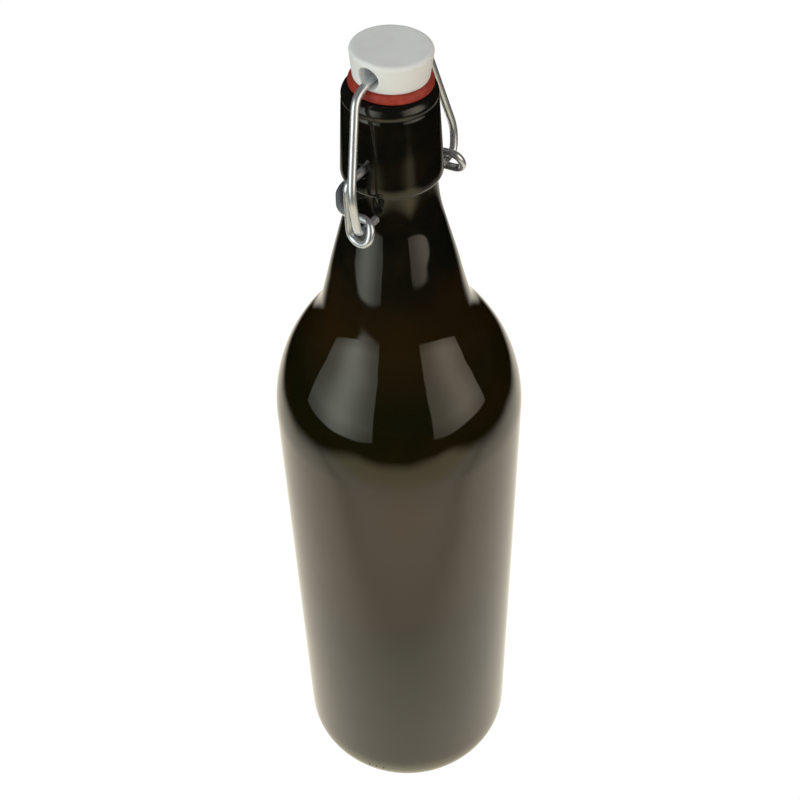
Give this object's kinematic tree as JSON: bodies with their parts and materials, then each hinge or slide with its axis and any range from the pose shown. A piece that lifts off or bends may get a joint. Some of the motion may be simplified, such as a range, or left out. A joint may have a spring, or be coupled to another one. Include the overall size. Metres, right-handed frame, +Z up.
{
  "type": "swing top bottle",
  "caption": "Tall dark brown glass bottle with a long neck, closed by a white stopper with a rubber gasket on a wire swing toggle.",
  "frame": {"origin": "centre of the foot on the surface it stands on", "axes": "+Z up along the bottle's axis; the wires pivot about lines along X; the handle is on the -Y side and the eyes of the closed toggle are on the +Y side"},
  "size_m": [0.084, 0.084, 0.3322],
  "materials": {
    "brown_glass": "very dark brown glass, glossy, nearly opaque",
    "white_stopper": "matt white, softly rounded",
    "red_rubber": "red-orange rubber, satin",
    "bail_steel": "bright drawn wire",
    "lever_steel": "bright drawn wire"
  },
  "bodies": {
    "bottle": {"glass_bottle": "brown_glass"},
    "lever": {"lever_wire": "lever_steel"},
    "bail": {"bail_wire": "bail_steel"},
    "plug": {"stopper": "white_stopper", "gasket": "red_rubber"}
  },
  "joints": [
    {"name": "lever_pivot", "type": "hinge", "parent": "bottle", "child": "lever", "pos_m": [0, 0, 0.2992], "axis": [-1, 0, 0], "range_deg": [0, 90]},
    {"name": "bail_hinge", "type": "hinge", "parent": "lever", "child": "bail", "pos_m": [0, 0.0048, 0.2848], "axis": [-1, 0, 0], "range_deg": [-59, 0]},
    {"name": "stopper_hinge", "type": "hinge", "parent": "bail", "child": "plug", "pos_m": [0, 0, 0.32577], "axis": [-1, 0, 0], "range_deg": [-31.1, 0]}
  ],
  "couplings": [
    {"joint": "bail_hinge", "follows": "lever_pivot", "ratio": -0.655},
    {"joint": "stopper_hinge", "follows": "lever_pivot", "ratio": -0.345}
  ]
}
